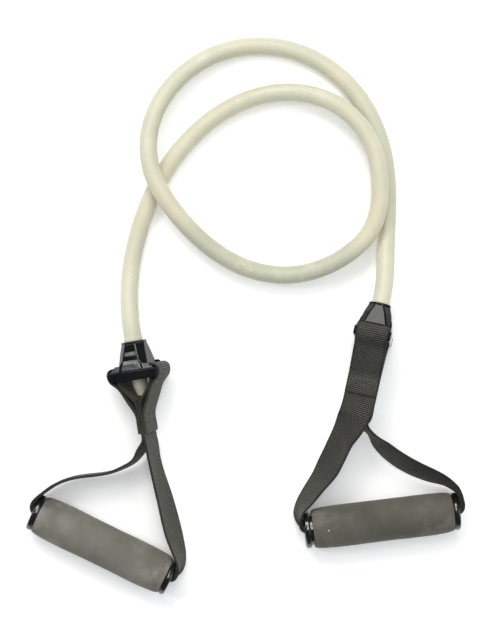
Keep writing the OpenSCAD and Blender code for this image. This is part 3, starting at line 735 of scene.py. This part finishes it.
def surface(field, low, high, step):
    """Points, quads and normals of a field's zero surface: one point in each cell it crosses."""
    axes = [np.arange(start, stop + step, step) for start, stop in zip(low, high)]
    values = field(*np.meshgrid(*axes, indexing="ij"))
    inside = values < 0
    corners = list(np.ndindex(2, 2, 2))

    def at_corner(array, corner):
        return array[tuple(slice(c, size - 1 + c) for c, size in zip(corner, array.shape))]

    count = sum(at_corner(inside, corner).astype(int) for corner in corners)
    live = (count > 0) & (count < 8)
    index = np.full(live.shape, -1)
    index[live] = np.arange(live.sum())
    cells = np.argwhere(live)
    # each point starts at the mean of the crossings on its cell's edges
    total, hits = np.zeros((len(cells), 3)), np.zeros(len(cells))
    for start, stop in combinations(corners, 2):
        way = np.array(stop) - np.array(start)
        if np.abs(way).sum() != 1:
            continue
        at_start, at_stop = at_corner(values, start)[live], at_corner(values, stop)[live]
        cross = (at_start < 0) != (at_stop < 0)
        part = np.where(cross, at_start / np.where(cross, at_start - at_stop, 1), 0)
        total += (np.array(start) + part[:, None] * way) * cross[:, None]
        hits += cross
    points = np.array(low) + step * (cells + total / hits[:, None])
    # a quad round each lattice edge that the surface crosses
    quads = []
    for axis in range(3):
        one, other = np.eye(3, dtype=int)[[(axis + 1) % 3, (axis + 2) % 3]]
        near, far = [slice(1, -1)] * 3, [slice(1, -1)] * 3
        near[axis], far[axis] = slice(0, -1), slice(1, None)
        start, stop = inside[tuple(near)], inside[tuple(far)]
        for crossed, turn in ((start & ~stop, False), (~start & stop, True)):
            at = np.argwhere(crossed) + (np.arange(3) != axis)
            ring = [at - one - other, at - other, at, at - one]
            quad = np.stack([index[tuple(cell.T)] for cell in ring], 1)
            quads.append(quad[:, ::-1] if turn else quad)
    # draw the points on to the surface
    for _ in range(4):
        slope = field_slope(field, points)
        steepness = np.maximum((slope * slope).sum(1), 0.05)
        move = -(field(*points.T) / steepness)[:, None] * slope
        size = np.linalg.norm(move, axis=1, keepdims=True)
        points = points + move * np.minimum(1, 0.35 * step / np.maximum(size, 1e-9))
    return points, np.concatenate(quads), unit(field_slope(field, points))


def connector_pieces():
    points, quads, normals = surface(connector_field, CONN_LOW, CONN_HIGH, CONN_STEP)
    corner = points[quads]
    uvs = np.stack([corner[..., 0] * 0.02 + 0.5, corner[..., 2] * 0.02], -1)
    for end in (LEFT, RIGHT):
        axes = np.stack([end.across, end.bar, end.dir])
        body = make_object(f"{end.side}_connector_moulding", end.place(points), [quads], [uvs],
                           GLOSS, normals=normals @ axes)
        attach(body, f"{end.side}_anchor")
        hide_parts(f"{end.side}_connector")


connector_pieces()

# ---------------------------------------------------------------- the webbing
DOWN = (0, 0, -1)
RIB = 1.5           # pitch of the cross ribs
COLUMNS = 65        # points across each face
BEAD = 1.6          # pitch of the beads along a rib
EDGE_LIFT = np.array([0.62, 0.0, -0.62])
EDGE_BULGE = [0.24, 0.38, 0.24]
SECTION_HALF_W = WEB_W / 2 - 0.38
SECTION_HALF_T = WEB_T / 2 - 0.17


def lean(heading, tilt):
    """Direction tilted from upright towards a heading, both in degrees."""
    heading, tilt = math.radians(heading), math.radians(tilt)
    return (math.sin(tilt) * math.cos(heading), math.sin(tilt) * math.sin(heading), math.cos(tilt))


def tilted(end, turn):
    """Direction across the webbing where it is turned about its length, in degrees."""
    return math.cos(math.radians(turn)) * end.bar + math.sin(math.radians(turn)) * end.across


def left_stations():
    """Down one leg, through the handle and up the other: (centre, direction across, width)."""
    mouth, hub, bar = LEFT.at_mouth, LEFT.at_hub, LEFT.bar
    return [
        (mouth(-LAY / 2, START_Z), bar, WEB_W),
        (mouth(-6.2, 85, 0.3), bar, WEB_W),
        ((-85.9, -114.4, 18.2), lean(144, 8), WEB_W),
        ((-94, -120, 17.1), lean(116, 7), WEB_W),
        ((-108, -125.2, 16.3), lean(100, 4), WEB_W),
        ((-131, -128.4, 16), lean(100, 3), WEB_W),
        ((-150, -134.4, 16.3), lean(100, 3), WEB_W),
        (hub(-FACE + 0.6, 17.6), lean(64, 2), WEB_W),
        (hub(-FACE - 2.4, 10.5), lean(64, 0), 25),
        (hub(-FACE - 1.9, 4), UP, 22.6),
        (hub(-FACE + 2.6, 0.4), UP, WEB_W_IN),
        (hub(-FACE + 12, 0), UP, WEB_W_IN),
        (hub(FACE - 12, 0), UP, WEB_W_IN),
        (hub(FACE - 2.6, 0.2), UP, WEB_W_IN),
        (hub(FACE + 1.3, 1.6), lean(160, 2), 22),
        (hub(FACE + 3.3, 6), lean(165, 6), 23.6),
        (hub(FACE + 2.8, 11.5), lean(172, 10), 25),
        (hub(FACE - 4, 22), lean(180, 20), WEB_W),
        ((-56.8, -170.8, 17.4), lean(188, 27), WEB_W),
        ((-63.5, -144.3, 17.9), lean(192, 23.5), WEB_W),
        ((-70.6, -118, 18.9), lean(192, 16.5), WEB_W),
        (mouth(0.95, 87, -0.6), bar, WEB_W),
        (mouth(LAY / 2, START_Z), bar, WEB_W)]


def right_stations():
    """As left_stations, for the right end."""
    mouth, hub, bar = RIGHT.at_mouth, RIGHT.at_hub, RIGHT.bar
    return [
        (mouth(LAY / 2, START_Z), bar, WEB_W),
        (mouth(2.4, 88.5, 0.75), tilted(RIGHT, -6), WEB_W),
        ((79.2, -93.2, 29.4), (-0.66, 0.32, -0.70), WEB_W),
        ((71.9, -108.9, 26.2), (-0.60, 0.32, -0.74), WEB_W),
        ((66.2, -120.6, 23.6), (-0.57, 0.33, -0.76), WEB_W),
        ((58.4, -132.8, 20.8), (-0.40, 0.27, -0.88), WEB_W),
        (hub(-FACE + 2, 23.6), (-0.32, 0.2, -0.93), WEB_W),
        (hub(-FACE - 4.9, 13), (-0.22, 0, -0.97), 25),
        (hub(-FACE - 5.1, 6), (-0.09, 0, -1), 23.4),
        (hub(-FACE - 2.8, 1.6), DOWN, 22),
        (hub(-FACE + 1.6, 0.2), DOWN, WEB_W_IN),
        (hub(-FACE + 12, 0), DOWN, WEB_W_IN),
        (hub(FACE - 12, 0), DOWN, WEB_W_IN),
        (hub(FACE - 2.6, 0.2), DOWN, WEB_W_IN),
        (hub(FACE + 1.2, 1.6), DOWN, 22),
        (hub(FACE + 3, 6), DOWN, 23.6),
        (hub(FACE + 2.9, 11.2), DOWN, 25),
        (hub(FACE - 1.4, 19), (-0.14, -0.14, -1), WEB_W),
        ((152.4, -129, 17.2), (-0.14, -0.40, -0.9), WEB_W),
        ((138, -123, 17.6), (-0.18, -0.47, -0.88), WEB_W),
        ((122.6, -114.4, 18.4), (-0.26, -0.43, -0.88), WEB_W),
        ((109, -103, 20.2), (-0.26, -0.30, -0.92), WEB_W),
        ((99.8, -93, 22.6), (-0.10, -0.06, -1), WEB_W),
        (mouth(-8.8, 93.5, -2), tilted(RIGHT, -48), WEB_W),
        (mouth(-3.4, 85.5, -0.2), tilted(RIGHT, -6), WEB_W),
        (mouth(-LAY / 2, START_Z), bar, WEB_W)]


def loop_path(end, side):
    """Centre line over the crossbar on one side (1 or -1), from the cut end to the fold."""
    outer = [(LAY * 1.5, WEB_END), (LAY * 1.5, 66), (LAY * 1.5, 60.4), (3.4, 57), (5.4, 52.6),
             (9, 45.6), (12, 39.5), (15, 34.8), (20.4, 29.5)]
    roll = [(ROLL_X + ROLL_RX * math.cos(turn), ROLL_Z + ROLL_RZ * math.sin(turn))
            for turn in np.radians(np.linspace(372, 189, 15))]
    inner = [(ROLL_X - ROLL_RX - 0.6, 31.5), (5, 44), (1.4, 50.2), (LAY / 2 + 0.02, 54),
             (LAY / 2, 60), (LAY / 2, 70), (LAY / 2, START_Z)]
    return np.array([end.at_mouth(side * x, z) for x, z in outer + roll + inner])


def chord_angle(ratio):
    """Half angle of an arc whose chord is ratio times its length, by Newton's method."""
    angle = np.sqrt(6 * (1 - ratio))
    for _ in range(8):
        slope = (np.cos(angle) * angle - np.sin(angle)) / angle**2
        angle = angle - (np.sinc(angle / math.pi) - ratio) / slope
    return angle


def webbing_piece(end, stations, first_side, bow, leave, enter):
    """One length of webbing from its cut end over one crossbar to that over the other.

    bow (1 or -1) is the way it cups; leave and enter lean the legs' ends across the connector."""
    centres, directions, widths = zip(*stations)
    leave_way = unit(end.dir + leave * end.across)
    enter_way = -unit(end.dir + enter * end.across)
    first_loop, _ = curve(loop_path(end, first_side), -end.dir, leave_way, step=0.15)
    last_loop, _ = curve(loop_path(end, -first_side)[::-1], enter_way, end.dir, step=0.15)
    legs, places = curve(np.array(centres), leave_way, enter_way, step=0.15)
    fine = np.concatenate([first_loop[:-1], legs[:-1], last_loop])
    places = np.concatenate([np.full(len(first_loop) - 1, -1.0), places[:-1],
                             np.full(len(last_loop), len(stations))])
    length = arc_length(fine)
    line, distance = even(fine, int(round(length[-1] / (RIB / 4))) + 1)
    places = np.clip(np.interp(distance, length, places), 0, len(stations) - 1)
    heading = headings(line)
    across = unit(flow([unit(direction) for direction in directions], places))
    across = unit(across - (across * heading).sum(1, keepdims=True) * heading)
    normal = np.cross(heading, across)
    width = flow([[value] for value in widths], places)[:, 0]
    # the webbing cups where it is squeezed narrower, and a little along the free legs
    down_axis = (line - end.mouth) @ end.dir
    free = np.clip((down_axis - 84) / 20, 0, 1) * np.clip((width - WEB_W_IN - 0.2) / 3, 0, 1)
    cup = np.maximum(chord_angle(np.clip(width / WEB_W, 0.8, 0.9995)), 0.16 * free)[:, None]
    radius = WEB_W / (2 * cup)
    sag = radius * (1 - np.cos(cup))

    # the section: one face, an edge, the other face and the other edge
    sweep = np.linspace(-1, 1, COLUMNS)
    side = np.concatenate([sweep, np.ones(3), sweep[::-1], -np.ones(3)])
    lift = np.concatenate([np.ones(COLUMNS), EDGE_LIFT, -np.ones(COLUMNS), -EDGE_LIFT])
    bulge = np.concatenate([np.zeros(COLUMNS), EDGE_BULGE] * 2)
    face = np.sign(lift) * (np.abs(lift) > 0.9)     # 1 and -1 on the faces, 0 on the edges
    on_face = np.abs(face)
    y = side * SECTION_HALF_W
    # ribs of beads: each rib's beads sit between those of the next
    rib = distance[:, None] / RIB
    phase = rib + np.where(lift < 0, 0.5, 0.0)
    ridge = 0.5 + 0.5 * np.cos(TAU * phase)
    bead = 0.5 + 0.5 * np.cos(TAU * (y / BEAD + 0.5 * (np.round(phase) % 2)))
    crest = ridge * (0.46 + 0.54 * bead)
    ribbed = np.clip((WEB_W / 2 - 0.5 - np.abs(y)) / 1.4, 0, 1)     # 0 along the edges
    spots = np.stack(np.broadcast_arrays(distance[:, None] / 4.0, y / 4.0, face * 3.1), -1)
    wear = 0.036 * noise3(spots, seed=21)
    height = (0.30 * crest * ribbed + 0.10 * (1 - ribbed) + wear) * on_face
    off = lift * SECTION_HALF_T + height * face
    # bend the section round the cup
    angle = y / (WEB_W / 2) * cup
    sideways = radius * np.sin(angle) + off * bow * np.sin(angle)
    outwards = -bow * (radius * (1 - np.cos(angle)) - 0.70 * sag) + off * np.cos(angle)
    # the weft turns back at each rib, so the edge is finely serrated
    turn_back = 1 + 0.45 * np.cos(TAU * (rib + np.where(side > 0, 0.5, 0.0)))
    sideways = sideways + np.sign(side) * bulge * turn_back
    points = (line[:, None] + sideways[..., None] * across[:, None]
              + outwards[..., None] * normal[:, None])

    rings, sides = points.shape[:2]
    quads, where, turned = face_out(*grid(rings, sides), points)
    caps = np.stack([np.arange(sides), (rings - 1) * sides + np.arange(sides)])
    flipped = 1 if turned else 0
    caps[flipped] = caps[flipped][::-1].copy()
    closed_y = np.append(y, y[0])
    uvs = np.stack([distance[where[..., 0]] * MM, closed_y[where[..., 1]] * MM], -1)
    # crest and edge feed the webbing's painted highlight on the rib crests and its painted shade in
    # the valleys and along the edges
    crests = np.where(on_face > 0, crest * ribbed + 0.35 * (1 - ribbed), 0.35)
    edges = np.broadcast_to(1 - ribbed * on_face, (rings, sides))
    obj = make_object(f"{end.side}_webbing", points, [quads, caps], [uvs, np.zeros((2, sides, 2))],
                      WEBBING[end.side],
                      attributes={"crest": crests, "edge": edges}, sharp=70)
    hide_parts(f"{end.side}_strap_loops", f"{end.side}_strap")
    tuple(end.at_mouth(0, FOLD_Z - 4) * MM)
    tuple(end.at_mouth(0, FOLD_Z + 4) * MM)
    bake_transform(obj)


webbing_piece(LEFT, left_stations(), first_side=-1, bow=-1, leave=-0.4, enter=0.08)
webbing_piece(RIGHT, right_stations(), first_side=1, bow=1, leave=0.12, enter=-0.28)

# ---------------------------------------------------------------- the stitching
STITCH_SIDES, STITCH_STEPS = 7, 7
STITCH_PITCH, STITCH_LEN, STITCH_R = 2.75, 2.15, 0.27
ROW_LEN = 21.6
CROSS_W, CROSS_H = 18.8, 6.0
BLOCK_FACE = 1.5 * LAY + WEB_T / 2      # half thickness of the sewn block


def stitch_places():
    """Stitches on one face as (y, z, turn in degrees): double rows, sides and a cross."""
    count = int(ROW_LEN / STITCH_PITCH)
    places = [(-ROW_LEN / 2 + ROW_LEN * (j + 0.5) / count, z, 0.0)
              for z in (60.5, 61.9, 69.9, 71.3) for j in range(count)]
    places += [(y, z, 90.0) for y in (-10.9, 10.9) for z in (63.8, 66.0, 68.2)]
    for way in (-1, 1):
        for j in range(6):
            part = (j + 0.5) / 6
            places.append((way * (-CROSS_W / 2 + CROSS_W * part), 62.9 + CROSS_H * part,
                           way * math.degrees(math.atan2(CROSS_H, CROSS_W))))
    return places


def stitch_points(face, y, z, turn, length):
    """One stitch in the connector's frame: rings along it, then the centres of its two ends."""
    part = np.linspace(-1, 1, STITCH_STEPS)
    along = part * length / 2
    lift = 0.36 * np.sqrt(np.maximum(1 - part**2, 0)) - 0.16
    radius = STITCH_R * np.sqrt(np.maximum(1 - (np.abs(part) * 0.86) ** 4, 0.05))[:, None]
    angle = ring_angles(STITCH_SIDES)
    sideways, outwards = radius * np.cos(angle), radius * np.sin(angle)
    points = np.stack([
        face * (BLOCK_FACE + lift[:, None] + outwards),
        (y + along * math.cos(turn))[:, None] - sideways * math.sin(turn),
        (z + along * math.sin(turn))[:, None] + sideways * math.cos(turn)], -1).reshape(-1, 3)
    ends = [points[:STITCH_SIDES].mean(0), points[-STITCH_SIDES:].mean(0)]
    return np.vstack([points, ends])


def stitch_piece(end, seed):
    """Lock stitches on both faces of the sewn block."""
    rng = np.random.default_rng(seed)
    tube = grid(STITCH_STEPS, STITCH_SIDES)
    centre = STITCH_STEPS * STITCH_SIDES
    k = np.arange(STITCH_SIDES)
    after = (k + 1) % STITCH_SIDES
    last = centre - STITCH_SIDES
    fan = np.stack([np.stack([np.full(STITCH_SIDES, centre), after, k], 1),
                    np.stack([np.full(STITCH_SIDES, centre + 1), last + k, last + after], 1)],
                   1).reshape(-1, 3)
    stitches, quads, tris, uvs, base = [], [], [], [], 0
    for face in (-1, 1):
        for y, z, turn in stitch_places():
            length = STITCH_LEN + 0.1 * rng.standard_normal()
            turn = math.radians(turn + rng.normal(0, 3))
            y, z = y + rng.normal(0, 0.06), z + rng.normal(0, 0.06)
            points = end.place(stitch_points(face, y, z, turn, length))
            quad, where, turned = face_out(*tube, points[:-2])
            stitches.append(points)
            quads.append(quad + base)
            tris.append((fan[:, ::-1] if turned else fan) + base)
            uvs.append(np.stack([where[..., 0] / STITCH_STEPS, where[..., 1] / STITCH_SIDES], -1))
            base += len(points)
    tris = np.concatenate(tris)
    obj = make_object(f"{end.side}_stitch_thread", np.vstack(stitches),
                      [np.concatenate(quads), tris],
                      [np.concatenate(uvs), np.zeros((len(tris), 3, 2))], THREAD)
    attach(obj, f"{end.side}_anchor")
    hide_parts(f"{end.side}_strap_stitching")


stitch_piece(LEFT, seed=11)
stitch_piece(RIGHT, seed=23)

# ---------------------------------------------------------------- the handles
# half of the sleeve's outline, from its middle to the core: (x, radius, rounding)
FOAM_OUTLINE = [
    (0, FOAM_R, 3.0), (FOAM_HALF * 0.5, FOAM_R + 0.12, 3.0), (FOAM_HALF - 16, FOAM_R + 0.02, 3.0),
    (FOAM_HALF - 8, FOAM_R - 0.36, 4), (FOAM_HALF - 2.9, FOAM_R - 0.95, 2.2),
    (FOAM_HALF - 0.45, FOAM_R - 1.8, 1.2), (FOAM_HALF - 0.25, CORE_R + 0.3, 0.3),
    (FOAM_HALF - 0.9, CORE_R + 0.02, 0.1)]
# the cap's outline, measured from the sleeve's end: (x, radius, rounding)
CAP_OUTLINE = [
    (-SPIGOT, CAP_BORE_R + 0.02, 0.25), (-SPIGOT, CORE_BORE_R - 0.5, 0.3),
    (-SPIGOT + 0.9, CORE_BORE_R, 0.3), (0.02, CORE_BORE_R, 0.1), (0.02, CAP_R - 0.9, 0.35),
    (0.75, CAP_R - 0.55, 0.3), (1.0, CAP_R, 0.35), (CAP_T - 1.0, CAP_R - 0.02, 0.9),
    (CAP_T - 0.05, CAP_R - 1.3, 0.7), (CAP_T - 0.75, CAP_BORE_R + 1.55, 0.5),
    (CAP_T - 0.35, CAP_BORE_R + 0.8, 0.4), (CAP_T - 1.0, CAP_BORE_R + 0.02, 0.5)]


def foam_piece(end, seed):
    mirrored = [(-x, radius, rounding) for x, radius, rounding in FOAM_OUTLINE[:0:-1]]
    profile = dense(rounded(mirrored + FOAM_OUTLINE, steps=5), 1.3)

    def ripple(x, radius, angle):
        """Lumps and grain of three sizes, fading out towards the core."""
        lumps = (0.30 * ring_noise(x / 34, radius / 14, angle, seed)
                 + 0.10 * ring_noise(x / 9, radius / 7, angle, seed + 1)
                 + 0.035 * ring_noise(x / 1.7, radius / 1.7, angle, seed + 2))
        skin = np.clip((radius - CORE_R - 0.5) / 1.5, 0, 1)
        shift = 0.12 * ring_noise(x / 34 * 2.1, radius / 14 * 2.1, angle, seed + 4)
        return x + shift * skin, radius + (lumps - 0.10) * skin

    obj = lathe(end, f"{end.side}_foam_sleeve", profile, 150, FOAM[end.side],
                ripple=ripple)
    coords = np.zeros(len(obj.data.vertices) * 3, np.float32)
    obj.data.vertices.foreach_get("co", coords)
    x = (coords.reshape(-1, 3) * 1000 - end.hub) @ end.along
    add_attribute(obj.data, "ends", np.clip((np.abs(x) - 22) / 26, 0, 1))
    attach(obj, f"{end.side}_grip")
    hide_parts(f"{end.side}_foam_grip")


def cap_piece(end, sign, node, out=0.0):
    outline = [(FOAM_HALF + x, radius, rounding) for x, radius, rounding in CAP_OUTLINE]
    profile = dense(rounded(outline, steps=4), 0.8)
    profile = (profile + np.array([out, 0.0])) * np.array([sign, 1.0])
    obj = lathe(end, f"{node}_moulding", profile, 128, CAP_GLOSS, sharp=50)
    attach(obj, f"{end.side}_grip")
    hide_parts(node)


foam_piece(LEFT, seed=3)
foam_piece(RIGHT, seed=8)
cap_piece(LEFT, -1, "left_cap_outer")
cap_piece(LEFT, 1, "left_cap_inner")
cap_piece(RIGHT, -1, "right_cap_inner", out=RIGHT_INNER_CAP_OUT)
cap_piece(RIGHT, 1, "right_cap_outer")

# hidden pieces keep their CAD shape and get a new material
for side in ("left", "right"):
    for node, material in ((f"{side}_stopper_plug", PLUG), (f"{side}_handle_core", CORE)):
        hidden = frame["nodes"][node]
        if len(hidden.material_slots) == 0:
            hidden.data.materials.append(material)
        for slot in hidden.material_slots:
            slot.material = material

# ---------------------------------------------------------------- floor, light and camera
SENSOR = 36                     # millimetres
CAMERA_X, CAMERA_Y, CAMERA_Z = 0.0048, 0.0024, 1.100
FOCUS_Z, VIEW_WIDTH = 0.012, 0.400      # the view is this wide at this height


def build_floor():
    bpy.ops.mesh.primitive_plane_add(size=12, location=(0, 0, -0.0002))
    floor = bpy.context.active_object
    floor.name = "floor"
    floor.data.materials.append(Mat("floor_pale").surface(
        Base_Color=(0.96, 0.96, 0.955), Roughness=0.9, Specular_IOR_Level=0.1,
        Emission_Color=(1.0, 1.0, 1.0), Emission_Strength=0.14))


def area(name, place, aim, size, power, colour=(1, 1, 1)):
    data = bpy.data.lights.new(name, "AREA")
    data.shape = "RECTANGLE"
    data.size, data.size_y = size
    data.energy = power
    data.color = colour
    light = bpy.data.objects.new(name, data)
    light.location = place
    light.rotation_euler = (Vector(aim) - Vector(place)).to_track_quat("-Z", "Y").to_euler()
    bpy.context.scene.collection.objects.link(light)


def build_world():
    """An even pale room that looks dimmer in reflections."""
    world = bpy.data.worlds.new("studio")
    world.use_nodes = True
    nodes, links = world.node_tree.nodes, world.node_tree.links
    room = next(node for node in nodes if node.type == "BACKGROUND")
    room.inputs["Color"].default_value = (0.96, 0.98, 1.0, 1)
    room.inputs["Strength"].default_value = 0.51
    reflected = nodes.new("ShaderNodeBackground")
    reflected.inputs["Color"].default_value = (0.93, 0.96, 1.0, 1)
    reflected.inputs["Strength"].default_value = 0.10
    path = nodes.new("ShaderNodeLightPath")
    mixed = nodes.new("ShaderNodeMixShader")
    output = next(node for node in nodes if node.type == "OUTPUT_WORLD")
    links.new(path.outputs["Is Glossy Ray"], mixed.inputs[0])
    links.new(room.outputs[0], mixed.inputs[1])
    links.new(reflected.outputs[0], mixed.inputs[2])
    links.new(mixed.outputs[0], output.inputs["Surface"])
    bpy.context.scene.world = world


def build_camera():
    """Looks straight down."""
    data = bpy.data.cameras.new("camera")
    data.sensor_fit = "HORIZONTAL"
    data.sensor_width = SENSOR
    data.lens = SENSOR * (CAMERA_Z - FOCUS_Z) / VIEW_WIDTH
    camera = bpy.data.objects.new("camera", data)
    camera.location = (CAMERA_X, CAMERA_Y, CAMERA_Z)
    bpy.context.scene.collection.objects.link(camera)
    bpy.context.scene.camera = camera


build_floor()
area("key", place=(-0.30, 1.15, 1.35), aim=(0, 0.05, 0), size=(1.3, 0.7), power=19.5,
     colour=(1.0, 0.985, 0.95))
area("fill", place=(1.3, -0.2, 1.3), aim=(0, 0, 0), size=(1.2, 1.2), power=7,
     colour=(0.95, 0.98, 1.0))
area("strip", place=(0.10, 0.45, 1.7), aim=(0.0, -0.1, 0), size=(0.30, 0.9), power=6)
area("glint", place=(-1.0, 0.28, 1.16), aim=(-0.085, -0.05, 0.02), size=(0.16, 0.42), power=3.2)
build_world()
build_camera()
view = bpy.context.scene.view_settings
view.view_transform = "Standard"
view.look = "None"
view.exposure = 0.0
